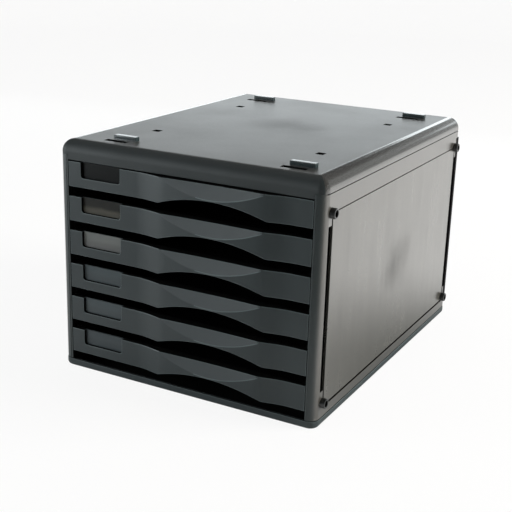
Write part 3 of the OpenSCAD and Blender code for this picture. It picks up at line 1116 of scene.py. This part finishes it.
@dataclass
class TopCover(Part):
    """The crowned cover with its lip, slots, square holes and stacking lugs."""

    edge_r: float = 12.5
    lip_join: float = 2.0
    hollow_drop: float = 6.0
    slot_x: float = 97.0
    slot_size: Pair = (25.0, 7.0)
    slot_rows: tuple[Pair, Pair] = ((5.0, -162.0), (-1.0, 137.5))
    hole_x: float = 93.0
    hole_size: Pair = (8.0, 8.0)
    hole_rows: tuple[Pair, Pair] = ((3.5, -94.5), (0.0, 86.0))
    opening_cut: Pair = (-6.0, 3.0)
    lug_size: Point = (26.0, 6.6, 4.0)
    lug_shift: float = 4.0
    lug_back: float = 8.1
    lug_sunk: float = 1.0

    def build(self) -> None:
        """Makes the cover and its lugs."""
        s = self.sizes
        profile = edge_profile(s.top_z - s.seam_z, self.edge_r)
        cover = crowned_block("top_cover_shell", s.plan(), profile, s.seam_z)
        corner = (s.open_x, s.front_y + s.wall, s.seam_z + self.lip_join)
        carve(cover, [box("lip", (-s.open_x, s.front_y, s.open_top), corner)], join=True)
        self.painted(cover, Finish.TOP)
        carve(cover, [self._hollow(), *self._openings()])
        low, high = s.seam_z - s.seam_past, s.seam_z + s.seam_gap / 2
        carve(cover, [self.seam(low, high, front=False)])
        tidy_mesh(cover.data)
        soften(cover, width=0.45)
        paint_where(cover, self.paints.of(Finish.ROUNDING), self._on_rounding)
        place(cover, "housing", "housing_top", "top_cover")
        self._lugs()

    def _on_rounding(self, face: Face) -> bool:
        """Whether a face lies on the round edge along the left or right.

        Args:
            face: The face.

        Returns:
            True where it does.
        """
        s, x = self.sizes, abs(face.center.x) / MM
        edge = x > s.side_x - self.edge_r and not s.is_sunk(face, self.edge_r)
        outward = abs(face.normal.x) > abs(face.normal.y)
        return edge and outward and face.center.z > s.seam_z * MM

    def _hollow(self) -> Object:
        """The space inside the shell, whose faces carry painted shade.

        Returns:
            Its cutter.
        """
        s, drop = self.sizes, self.hollow_drop
        height = s.top_z - s.seam_z + drop - s.wall
        profile = edge_profile(height, self.edge_r - s.wall, steps=8)
        inner = crowned_block("hollow", s.plan(-s.wall), profile, s.seam_z - drop)
        # Painted shade on the inside, seen through the slots and holes.
        return self.painted(inner, Finish.PAINTED_SHADE)

    def _openings(self) -> list[Object]:
        """The slots and the square holes, whose walls carry painted shade.

        Returns:
            Their cutters.
        """
        low, high = (self.sizes.top_z + cut for cut in self.opening_cut)
        spots = [(self.slot_x, row, self.slot_size) for row in self.slot_rows]
        spots += [(self.hole_x, row, self.hole_size) for row in self.hole_rows]
        cutters = []
        for sx in (-1, 1):
            for apart, (shift, y), (w, d) in spots:
                x = sx * apart + shift
                near, far = (x - w / 2, y - d / 2, low), (x + w / 2, y + d / 2, high)
                # Painted shade on the walls of the slots and holes.
                cutters.append(self.painted(box("opening", near, far), Finish.PAINTED_SHADE))
        return cutters

    def _lugs(self) -> None:
        """The four lugs, set out by a geometry tree."""
        (w, d, h), sunk = self.lug_size, self.lug_sunk
        (shift_f, slot_f), (shift_b, slot_b) = self.slot_rows
        front, back = (y + self.lug_back + d / 2 for y in (slot_f, slot_b))
        lengths = {
            "Width": w,
            "Depth": d,
            "Height": h + sunk,
            "Apart X": 2 * self.slot_x,
            "Apart Y": back - front,
            "Middle X": self.lug_shift + (shift_f + shift_b) / 2,
            "Middle Y": (back + front) / 2,
            "Level": self.sizes.top_z + (h - sunk) / 2,
        }
        lean = (shift_b - shift_f) / (back - front)
        form = Form("stacking_lugs", {**metres(lengths), "Lean": lean})
        at = form.at
        size = form.vector(at["Width"], at["Depth"], at["Height"])
        block = form.node("GeometryNodeMeshCube", {"Size": size})["Mesh"]
        across = at["Middle X"] + at["Lean"] * form.here()[1]
        shift = form.vector(across, at["Middle Y"], at["Level"])
        spots = form.moved(form.grid(at["Apart X"], at["Apart Y"]), offset=shift)
        form.end(form.set_out(block, spots))
        piece = form.run("stacking_lugs", self.paints.of(Finish.LUG))
        soften(piece, width=0.5)
        place(piece, "housing", "housing_top")


@dataclass
class Base(Part):
    """The base tray, which the housing stands on."""

    def build(self) -> None:
        """Makes the base."""
        s = self.sizes
        piece = self.painted(copied("base_tray", "base_tray_shell"), Finish.BASE)
        low, high = s.base_top - s.seam_gap / 2, s.base_top + s.seam_past
        carve(piece, [self.seam(low, high)])
        tidy_mesh(piece.data)
        # Painted highlight: the base's edge roundings take the lighter edge colour.
        soften(piece, width=0.35, edge=self.paints.of(Finish.EDGE))
        # Painted shade on the sunk upward faces inside the base, seen through the low gap.
        black = self.paints.of(Finish.PAINTED_SHADE)
        paint_where(piece, black, lambda f: f.normal.z > UPWARD and s.is_sunk(f))
        place(piece, "housing", "housing_front", "base_tray")


@dataclass(frozen=True)
class CornerBand:
    """The black band by which the back panel reaches round the rear corners."""

    sizes: Housing
    start_y: float = 173.0
    slot_y: float = 176.7
    low_z: float = 18.0
    high_z: float = 216.8
    slot_zs: Pair = (36.0, 195.0)
    overlap: float = 0.01
    corner_r: float = 4.0
    gap: float = 0.15
    clear: float = 2.0
    arc_steps: int = 8

    def _outline(self, start: float) -> list[Pair]:
        """Plan of the band on the right, up to the back.

        Args:
            start: Where it starts along Y.

        Returns:
            The plan's points.
        """
        s, r = self.sizes, self.corner_r
        x, y, inner = s.side_x, s.depth / 2, s.side_x - s.wall
        flat = x - s.corner_r
        corner = quarter_turn(x - r, y - r, r, 0.0, self.arc_steps)
        inside = [(flat, y), (flat, y - s.wall), (inner, y - s.corner_r), (inner, start)]
        return [(x, start), *corner, *inside]

    def solids(self, side: int) -> list[Object]:
        """The band on one side, narrower beside the finger slot.

        Args:
            side: 1 for the right side and -1 for the left.

        Returns:
            Its three stretches.
        """
        low, high = self.slot_zs
        stretches = (
            (self.start_y, self.low_z, low),
            (self.slot_y, low - self.overlap, high + self.overlap),
            (self.start_y, high, self.high_z),
        )
        made = []
        for start, z0, z1 in stretches:
            plan = [(side * x, y) for x, y in self._outline(start)]
            made.append(prism("band", plan, z0, z1, "Z"))
        return made

    def room(self, side: int) -> Object:
        """The space that the band takes from the side frame.

        Args:
            side: 1 for the right side and -1 for the left.

        Returns:
            Its cutter.
        """
        s, gap = self.sizes, self.gap
        xs = sorted((side * (s.side_x - s.wall - gap), side * (s.side_x + self.clear)))
        near = (xs[0], self.start_y - gap, self.low_z - gap)
        return box("room", near, (xs[1], s.depth / 2 + self.clear, self.high_z + gap))


@dataclass
class Side(Part):
    """One side: its frame, the panel let into it, and the corner pegs."""

    name: str
    peg_head: Pair = (5.0, 5.0)
    peg_recess: Pair = (3.2, 3.6)
    peg_ys: Pair = (-171.5, 168.0)
    peg_zs: Pair = (24.0, 207.0)
    peg_sunk: float = 2.0
    peg_sides: tuple[int, int] = (40, 32)
    rim_edge: Pair = (0.02, 0.5)

    def build(self) -> None:
        """Makes the side's pieces."""
        s, name = self.sizes, self.name
        frame = copied(f"{name}_side_frame", f"{name}_frame_shell")
        self.painted(frame, Finish.SIDE)
        room = CornerBand(s).room(-1 if name == "left" else 1)
        past, half_gap = s.seam_past, s.seam_gap / 2
        low_seam = self.seam(s.base_top - past, s.base_top + half_gap)
        high_seam = self.seam(s.seam_z - half_gap, s.seam_z + past, front=False)
        # Painted shade: the seam steps and the room by the corner band leave near-black
        # faces.
        carve(frame, [low_seam, high_seam, self.painted(room, Finish.PAINTED_SHADE)])
        tidy_mesh(frame.data)
        soften(frame, width=0.35)
        # Painted shade on the faces that lie deep under the side's outer face.
        paint_where(frame, self.paints.of(Finish.PAINTED_SHADE), s.is_sunk)
        place(frame, "housing", "housing_side", f"{name}_side_frame")
        panel = copied(f"{name}_side_panel", f"{name}_panel_plate")
        soften(panel, width=0.3)
        self.painted(panel, Finish.PANEL)
        place(panel, "housing", "housing_side", f"{name}_side_panel")

    def pegs(self) -> None:
        """Makes the four pegs, which stand out of the right side alone."""
        piece = self._peg_form().run(f"{self.name}_pegs", self.paints.of(Finish.PEG))
        soften(piece, width=0.7)
        # Painted shade inside each peg's recess.
        paint_where(piece, self.paints.of(Finish.PAINTED_SHADE), self._in_recess)
        place(piece, "housing", "black_peg", f"{self.name}_corner_pegs")

    def _peg_form(self) -> Form:
        """The tree that sets four recessed pegs out on one side.

        Returns:
            The tree.
        """
        (front, back), (low, high) = self.peg_ys, self.peg_zs
        lengths = {
            "Head radius": self.peg_head[0],
            "Head length": self.peg_head[1],
            "Recess radius": self.peg_recess[0],
            "Recess depth": self.peg_recess[1],
            "Apart Y": back - front,
            "Apart Z": high - low,
            "Middle Y": (back + front) / 2,
            "Middle Z": (high + low) / 2,
            "Seat X": self.sizes.side_x,
        }
        form = Form("corner_pegs", metres(lengths))
        at, sunk, quarter = form.at, self.peg_sunk * MM, math.pi / 2
        outer, inner = self.peg_sides
        head = form.cylinder(at["Head radius"], at["Head length"] + sunk, outer)
        bore = form.cylinder(at["Recess radius"], at["Recess depth"] * 2.0, inner)
        rise = form.vector(0.0, 0.0, (at["Head length"] + sunk) / 2.0)
        meshes = {0: head, 1: form.turned(bore, rise)}
        how = {"operation": "DIFFERENCE", "solver": "EXACT"}
        peg = form.node("GeometryNodeMeshBoolean", meshes, **how)["Mesh"]
        out = form.vector((at["Head length"] - sunk) / 2.0, 0.0, 0.0)
        seat = form.vector(at["Seat X"], at["Middle Y"], at["Middle Z"])
        spots = form.turned(form.grid(at["Apart Z"], at["Apart Y"]), seat, quarter)
        form.end(form.set_out(form.turned(peg, out, quarter), spots))
        return form

    def _in_recess(self, face: Face) -> bool:
        """Whether a face is inside one of the pegs' recesses.

        Args:
            face: The face.

        Returns:
            True where it is.
        """
        x, y, z = (c / MM for c in face.center)
        off = min(math.hypot(y - py, z - pz) for py in self.peg_ys for pz in self.peg_zs)
        rim = self.sizes.side_x + self.peg_head[1]
        slack, lip = self.rim_edge
        return off < self.peg_recess[0] + slack and x < rim - lip


@dataclass
class Back(Part):
    """The black back panel, which reaches round the rear corners."""

    def build(self) -> None:
        """Makes the panel."""
        piece = copied("back_panel", "back_panel_shell")
        band = CornerBand(self.sizes)
        carve(piece, [*band.solids(-1), *band.solids(1)], join=True)
        tidy_mesh(piece.data)
        soften(piece, width=0.3, segments=2)
        self.painted(piece, Finish.BACK)
        place(piece, "housing", "inner_black", "back_panel")


# ------------------------------------------------------------------ drawers


@dataclass(frozen=True)
class Wave:
    """Shape of a drawer front, in millimetres."""

    half_w: float = 133.7
    height: float = 25.4
    thick: float = 5.5
    middle: float = 32.0
    half: float = 58.0
    crest: float = 5.0
    bulge: float = 2.5
    hollow: float = 28.0
    blend: float = 10.0
    scoop_back: float = 1.6
    scoop_h: float = 13.8
    least_dip: float = 1.2
    crease: float = 0.5
    arch: float = 10.4
    columns: tuple[int, ...] = (6, 14, 64, 14, 4)
    rows: tuple[int, int] = (7, 7)
    edge: float = 0.55
    highlight_from: float = 15.0
    highlight_share: float = 0.95
    label: Point = (-118.7, -72.2, 9.8)
    label_stretch: float = 1.052
    label_r: float = 2.6
    label_cut: Pair = (-4.0, 4.2)
    label_over: float = 3.0
    label_steps: int = 6

    def form(self) -> Form:
        """The tree that forms a front from a flat grid.

        Returns:
            The tree.
        """
        form = Form("wave_front", metres(self._lengths()))
        at = form.at
        columns, rows = sum(self.columns), sum(self.rows)
        grid = form.grid(1.0, 1.0, columns + 1, rows + 1)
        across, up, _ = form.here()
        x = self._along(at, (across + 0.5) * float(columns))
        off = (x - at["Wave middle"]).size()
        near = off.least(at["Half wave"])
        face = self._face(at, off, near)
        foot = self._arc_rise(at["Half wave"], at["Arch height"], near)
        z = self._level(at, near, foot, (up + 0.5) * float(rows))
        y = face.most(self._scoop(at, off, z))
        sheet = form.moved(grid, position=form.vector(x, y, z))
        inputs = {"Mesh": sheet, "Offset Scale": 0.0, "Individual": False}
        pushed = form.node("GeometryNodeExtrudeMesh", inputs, mode="FACES")
        x, _, z = form.here()
        spots = form.vector(x, at["Thickness"], z)
        back = form.moved(pushed["Mesh"], selection=pushed["Top"], position=spots)
        turned = form.node("GeometryNodeFlipFaces", {"Mesh": back})[0]
        joined = form.node("GeometryNodeJoinGeometry", {0: [turned, sheet]})[0]
        merged = {"Geometry": joined, "Distance": JOIN_GAP}
        form.end(form.node("GeometryNodeMergeByDistance", merged)[0])
        return form

    def _along(self, at: dict[str, Signal], column: Signal) -> Signal:
        """Sets the columns out, so that the wave's kinks fall on columns.

        Args:
            at: The tree's inputs.
            column: Each column's number.

        Returns:
            Where each one stands along X.
        """
        reach = at["Half wave"] + at["Hollow width"]
        lengths = (
            at["Half width"] + at["Wave middle"] - reach,
            at["Hollow width"],
            at["Half wave"] * 2.0,
            at["Hollow width"],
            at["Half width"] - at["Wave middle"] - reach,
        )
        x = -at["Half width"]
        start = 0
        for length, count in zip(lengths, self.columns):
            x = x + length * column.step(float(start), float(start + count))
            start += count
        return x

    @staticmethod
    def _arc_rise(half: Signal, rise: Signal, off: Signal) -> Signal:
        """Height of an arc of that rise over its chord's ends."""
        radius = (half * half + rise * rise) / (rise * 2.0)
        return (radius * radius - off * off).root() - radius + rise

    def _face(self, at: dict[str, Signal], off: Signal, near: Signal) -> Signal:
        """Depth of the waved face, negative towards the front.

        Args:
            at: The tree's inputs.
            off: How far each point is from the wave's middle.
            near: The same, held inside the wave.

        Returns:
            The depth.
        """
        hollow, crest, half = at["Hollow width"], at["Crest out"], at["Half wave"]
        radius = (hollow * hollow + crest * crest) / (crest * 2.0)
        inside = (half + hollow - off).most(0.0).least(hollow)
        fall = (radius * radius - inside * inside).root() - radius
        turn = hollow / (radius - crest) - at["Bulge out"] * 2.0 / half
        nearby = (at["Crest blend"] - (off - half).size()).most(0.0)
        wear_and_highlight = nearby * nearby * turn / (at["Crest blend"] * 4.0)
        return fall + wear_and_highlight - self._arc_rise(half, at["Bulge out"], near)

    @staticmethod
    def _scoop(at: dict[str, Signal], off: Signal, z: Signal) -> Signal:
        """Depth of the hollow face over the crease.

        Args:
            at: The tree's inputs.
            off: How far each point is from the wave's middle.
            z: Its height.

        Returns:
            The depth.
        """
        back = at["Scoop back"]
        radius = at["Half wave"] * at["Half wave"] / (back * 2.0)
        lean = (at["Bulge out"] + back) / at["Scoop height"]
        bow = radius - (radius * radius - off * off).root()
        steep = (lean * lean + 1.0).root()
        return back - at["Crest out"] - bow * steep - lean * (at["Height"] - z)

    def _level(
        self, at: dict[str, Signal], near: Signal, foot: Signal, row: Signal
    ) -> Signal:
        """Height of each row, so that one row follows the crease.

        Args:
            at: The tree's inputs.
            near: How far each point is from the wave's middle, inside it.
            foot: Height of the lower edge.
            row: Each row's number.

        Returns:
            The height.
        """
        band, lower, upper = self.crease * MM, *self.rows
        share = near / at["Half wave"]
        dip = (at["Scoop height"] * (1.0 - share * share)).most(self.least_dip * MM)
        crease = at["Height"] - dip
        z = foot + (crease - band - foot) * row.step(0.0, lower - 1.0)
        z = z + band * row.step(lower - 1.0, lower + 1.0) * 2.0
        return z + (dip - band) * row.step(lower + 1.0, float(lower + upper))

    def _lengths(self) -> dict[str, float]:
        """The tree's inputs for this shape.

        Returns:
            Lengths by name, in millimetres.
        """
        return {
            "Half width": self.half_w,
            "Height": self.height,
            "Thickness": self.thick,
            "Wave middle": self.middle,
            "Half wave": self.half,
            "Crest out": self.crest,
            "Bulge out": self.bulge,
            "Hollow width": self.hollow,
            "Crest blend": self.blend,
            "Scoop back": self.scoop_back,
            "Scoop height": self.scoop_h,
            "Arch height": self.arch,
        }

    def on_crease(self, face: Face) -> bool:
        """Whether a face lies on the part of the crease that gets a painted highlight.

        Args:
            face: The face.

        Returns:
            True where it does.
        """
        x, _, z = (c / MM for c in face.center)
        share = abs(x - self.middle) / self.half
        crease = self.height - self.scoop_h * (1.0 - share * share)
        along = abs(z - crease) < self.crease and x > self.middle - self.highlight_from
        return along and share < self.highlight_share and face.normal.y < -0.3

    def label_cutter(self) -> Object:
        """The recess of the label window.

        Returns:
            Its cutter.
        """
        left, right, low = self.label
        r, top, steps = self.label_r, self.height + self.label_over, self.label_steps
        outline = [(right, top), (left, top)]
        outline += quarter_turn(left + r, low + r, r, 180.0, steps)
        outline += quarter_turn(right - r, low + r, r, 270.0, steps)
        return prism("recess", outline, *self.label_cut, "Y")


@dataclass
class Drawers(Part):
    """The six drawers: fronts, label strips and trays."""

    wave: Wave = Wave()
    count: int = 6
    pitch: float = 35.2
    low_z: float = 17.8

    def level(self, number: int) -> float:
        """Height of a front's lower edge; drawer 1 is the highest."""
        return self.low_z + (self.count - number) * self.pitch

    def strip(self, number: int) -> SmokedStrip:
        """How the label strip of a drawer looks.

        Args:
            number: The drawer, of which 1 is the highest.

        Returns:
            The strip's finish.
        """
        z = self.level(number) + self.wave.label[2]
        looks = {
            1: (srgb(13, 14, 14), srgb(11, 12, 12), 7.0),
            2: (srgb(36, 36, 34), srgb(70, 68, 62), 6.0),
            3: (srgb(97, 99, 98), srgb(89, 90, 90), 7.0),
            6: (srgb(60, 66, 69), srgb(56, 62, 65), 7.0),
        }
        upper, lower, split = looks.get(number, (srgb(64, 71, 74), srgb(62, 68, 71), 7.0))
        return SmokedStrip(f"label_strip_{number}", upper, lower, z + split)

    def build(self) -> None:
        """Makes every drawer."""
        master = self._front_master()
        stay = Vector((self.wave.label[0] * MM, 0.0, 0.0))
        wider = Matrix.Scale(self.wave.label_stretch, 4, (1.0, 0.0, 0.0))
        widen = Matrix.Translation(stay) @ wider @ Matrix.Translation(-stay)
        for number in range(1, self.count + 1):
            body = f"drawer_{number}"
            front = new_object(f"{body}_face", master.data.copy())
            shift = Vector((0.0, self.sizes.front_y, self.level(number))) * MM
            front.data.transform(Matrix.Translation(shift))
            place(front, body, "drawer_front", f"{body}_front")
            strip = copied(f"{body}_label_window", f"{body}_label_strip")
            strip.data.transform(widen)
            soften(strip, width=0.2, segments=2)
            self.painted(strip, self.strip(number))
            place(strip, body, "label_window", f"{body}_label_window")
            tray = copied(f"{body}_tray", f"{body}_tray_shell")
            soften(tray, width=0.5, segments=2)
            self.painted(tray, Finish.LINER)
            place(tray, body, "inner_black", f"{body}_tray")
        bpy.data.objects.remove(master)

    def _front_master(self) -> Object:
        """One front in its own place, from which the six are copied.

        Returns:
            The front.
        """
        wave = self.wave
        black, wear_and_highlight = self.paints.of(Finish.PAINTED_SHADE), self.paints.of(Finish.EDGE)
        front = wave.form().run("front_master", self.paints.of(Finish.FRONT))
        # Painted highlight along the right part of the crease.
        paint_where(front, wear_and_highlight, wave.on_crease)
        # Painted shade on the walls of the label recess.
        carve(front, [paint(wave.label_cutter(), black)])
        tidy_mesh(front.data)
        # Painted highlight on the edge roundings.
        soften(front, wave.edge, angle=50.0, edge=wear_and_highlight)
        # Painted shade on the top and end faces, which lie in the gaps beside other parts.
        paint_where(
            front, black, lambda f: f.normal.z > EDGE_ON or abs(f.normal.x) > EDGE_ON
        )
        return front


# ------------------------------------------------------------------ studio


@dataclass(frozen=True)
class Softbox:
    """A flat soft light, which the camera doesn't see.

    Attributes:
        name: Its name.
        at: Where it stands, in metres.
        size: Its width and height, in metres.
        power: Its power, in watts.
        colour: Its colour.
        aim: What it faces.
        mirrored: Whether glossy surfaces mirror it.
    """

    name: str
    at: Point
    size: Pair
    power: float
    colour: Colour
    aim: Point = (0.0, 0.0, 0.1)
    mirrored: bool = True

    def build(self) -> None:
        """Adds the light."""
        data = bpy.data.lights.new(self.name, "AREA")
        data.shape = "RECTANGLE"
        data.size, data.size_y = self.size
        data.energy = self.power
        data.color = self.colour
        lamp = new_object(self.name, data)
        lamp.visible_camera = False
        lamp.visible_glossy = self.mirrored
        lamp.location = self.at
        ahead = Vector(self.aim) - Vector(self.at)
        lamp.rotation_euler = ahead.to_track_quat("-Z", "Y").to_euler()


@dataclass
class Studio:
    """Pale round sweep, soft lights and the camera.

    Attributes:
        radius: Radius of the sweep, in metres.
        wall_h: Height of its wall.
        cove: Radius of the bend between floor and wall.
        bend_steps: Steps in that bend.
        floor_r: Radius of the floor's middle piece.
        steps: Points round it.
        paper: Its colour in the light.
        mirrored_near: What polished plastic mirrors of it close to the cabinet.
        mirrored_far: The same further off.
        far: Where the far one starts and where it is full, in metres.
        behind: The same along Y, because only the floor behind is bright.
        high: Where the wall starts to fade and where it is faded, along Z.
        high_fade: How far it fades.
        shown: How much of it the camera sees as plain white.
        room: The world's level as light, in mirrors and to the camera.
        camera_at: Where the camera stands, in metres.
        azimuth: Its turn about Z, in degrees.
        elevation: How far it looks down.
        roll: How far it leans.
        lens: Its focal length, in millimetres.
        sensor: Width of its sensor.
    """

    radius: float = 4.2
    wall_h: float = 2.0
    cove: float = 0.8
    bend_steps: int = 12
    floor_r: float = 1.0
    steps: int = 96
    paper: Colour = (0.8, 0.8, 0.79)
    mirrored_near: Colour = (0.14, 0.15, 0.15)
    mirrored_far: Colour = (1.0, 1.0, 0.985)
    far: Pair = (0.12, 0.42)
    behind: Pair = (-0.6, -0.1)
    high: Pair = (0.02, 0.45)
    high_fade: float = 0.85
    shown: float = 0.9
    room: Point = (0.22, 0.06, 1.0)
    camera_at: Point = (0.4937, -0.9654, 0.4459)
    azimuth: float = 28.024
    elevation: float = 17.976
    roll: float = 1.763
    lens: float = 72.04
    sensor: float = 36.0

    def build(self) -> None:
        """Makes the studio."""
        self._sweep()
        self._world()
        self._camera()
        warm, white, cool = (1.0, 0.96, 0.90), (1.0, 0.99, 0.97), (0.90, 0.97, 1.0)
        top = (-0.5, 0.1, 0.24)
        for light in (
            Softbox("key_right", (2.6, 1.0, 0.9), (1.6, 1.6), 185.0, warm, mirrored=False),
            Softbox("top_fill", (-0.6, 0.5, 2.6), (2.2, 2.2), 10.0, white),
            Softbox("front_fill", (-2.05, -1.6, 0.4), (1.4, 1.4), 52.0, cool),
            Softbox("back_glow", (-0.7, 1.2, 0.41), (2.4, 0.38), 4.6, cool, top),
        ):
            light.build()

    def _sweep(self) -> None:
        """Floor and backdrop in one round piece."""
        flat, cove, steps = self.radius - self.cove, self.cove, self.steps
        count = self.bend_steps
        turns = [math.radians(90.0 * i / count) for i in range(1, count + 1)]
        bend = [(flat + cove * math.sin(a), cove * (1 - math.cos(a))) for a in turns]
        profile = [(self.floor_r, 0.0), (flat, 0.0), *bend, (self.radius, self.wall_h)]
        around = [2 * math.pi * i / steps for i in range(steps)]
        bm = bmesh.new()
        rings = [
            [bm.verts.new((r * math.cos(a), r * math.sin(a), z)) for a in around]
            for r, z in profile
        ]
        bm.faces.new(rings[0])
        for inner, outer in zip(rings, rings[1:]):
            for i in range(steps):
                j = (i + 1) % steps
                bm.faces.new((inner[i], outer[i], outer[j], inner[j]))
        sweep = from_bmesh("studio_sweep", bm)
        sweep.data.shade_smooth()
        paint(sweep, self._paper())

    def _paper(self) -> Material:
        """White paper that the camera sees as nearly plain white.

        Returns:
            Its material.
        """
        material = bpy.data.materials.new("studio_paper")
        look = Look(material)
        ray = look.node("ShaderNodeLightPath")
        seen = (ray["Is Camera Ray"] + ray["Is Transmission Ray"]).least(1.0) * self.shown
        spot = look.spot()
        reach = look.node("ShaderNodeVectorMath", {0: spot}, operation="LENGTH")[1]
        _, y, z = look.split(spot)
        fade = 1.0 - z.smooth(*self.high) * self.high_fade
        lit = reach.smooth(*self.far) * y.smooth(*self.behind) * fade
        near = look.plain("ShaderNodeEmission", *self.mirrored_near)
        far = look.plain("ShaderNodeEmission", *self.mirrored_far)
        white = look.plain("ShaderNodeEmission", 1.0, 1.0, 1.0)
        matt = look.plain("ShaderNodeBsdfDiffuse", *self.paper)
        mirrored = look.blend(lit, near, far)
        paper = look.blend(ray["Is Glossy Ray"], look.blend(seen, matt, white), mirrored)
        under = look.node("ShaderNodeNewGeometry")["Backfacing"]
        clear = look.node("ShaderNodeBsdfTransparent")[0]
        sheet = look.blend(under, paper, clear)
        look.node("ShaderNodeOutputMaterial", {"Surface": sheet})
        return material

    def _world(self) -> None:
        """A white room to the eye, and a soft grey one as light."""
        world = bpy.data.worlds.new("studio_world")
        bpy.context.scene.world = world
        look = Look(world)
        ray = look.node("ShaderNodeLightPath")
        light, mirrored, white = (
            look.plain("ShaderNodeBackground", v, v, v) for v in self.room
        )
        unseen = look.blend(ray["Is Glossy Ray"], light, mirrored)
        room = look.blend(ray["Is Camera Ray"], unseen, white)
        look.node("ShaderNodeOutputWorld", {"Surface": room})

    def _camera(self) -> None:
        """The camera, placed and turned as the photograph's."""
        az, el, roll = (math.radians(v) for v in (self.azimuth, self.elevation, self.roll))
        level = math.cos(el)
        ahead = Vector((-math.sin(az) * level, math.cos(az) * level, -math.sin(el)))
        right = Vector((math.cos(az), math.sin(az), 0.0))
        up = right.cross(ahead)
        turned_right = right * math.cos(roll) + up * math.sin(roll)
        turned_up = up * math.cos(roll) - right * math.sin(roll)
        data = bpy.data.cameras.new("camera")
        data.lens = self.lens
        data.sensor_width = self.sensor
        camera = new_object("camera", data)
        axes = Matrix((turned_right, turned_up, -ahead)).transposed()
        camera.matrix_world = Matrix.Translation(self.camera_at) @ axes.to_4x4()
        bpy.context.scene.camera = camera


# ------------------------------------------------------------------ scene


def dress_nodes(paints: Paint) -> None:
    """Gives the CAD nodes that stay their finish.

    Args:
        paints: The materials.
    """
    for node in ("left_runner_rack", "right_runner_rack"):
        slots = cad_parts[node].data.materials
        material = paints.of(Finish.LINER)
        if not slots:
            slots.append(material)
        for index in range(len(slots)):
            slots[index] = material
        log.info("%s keeps its CAD shape", node)


def main() -> None:
    """Builds the studio and the cabinet."""
    logging.basicConfig(level=logging.INFO, format="%(name)s: %(message)s")
    bpy.context.scene.view_settings.view_transform = "Standard"
    Studio().build()
    sizes, paints = Housing(), Paint()
    TopCover(sizes, paints).build()
    Base(sizes, paints).build()
    Side(sizes, paints, "left").build()
    right = Side(sizes, paints, "right")
    right.build()
    right.pegs()
    Back(sizes, paints).build()
    Drawers(sizes, paints).build()
    dress_nodes(paints)


if __name__ == "__main__":
    main()
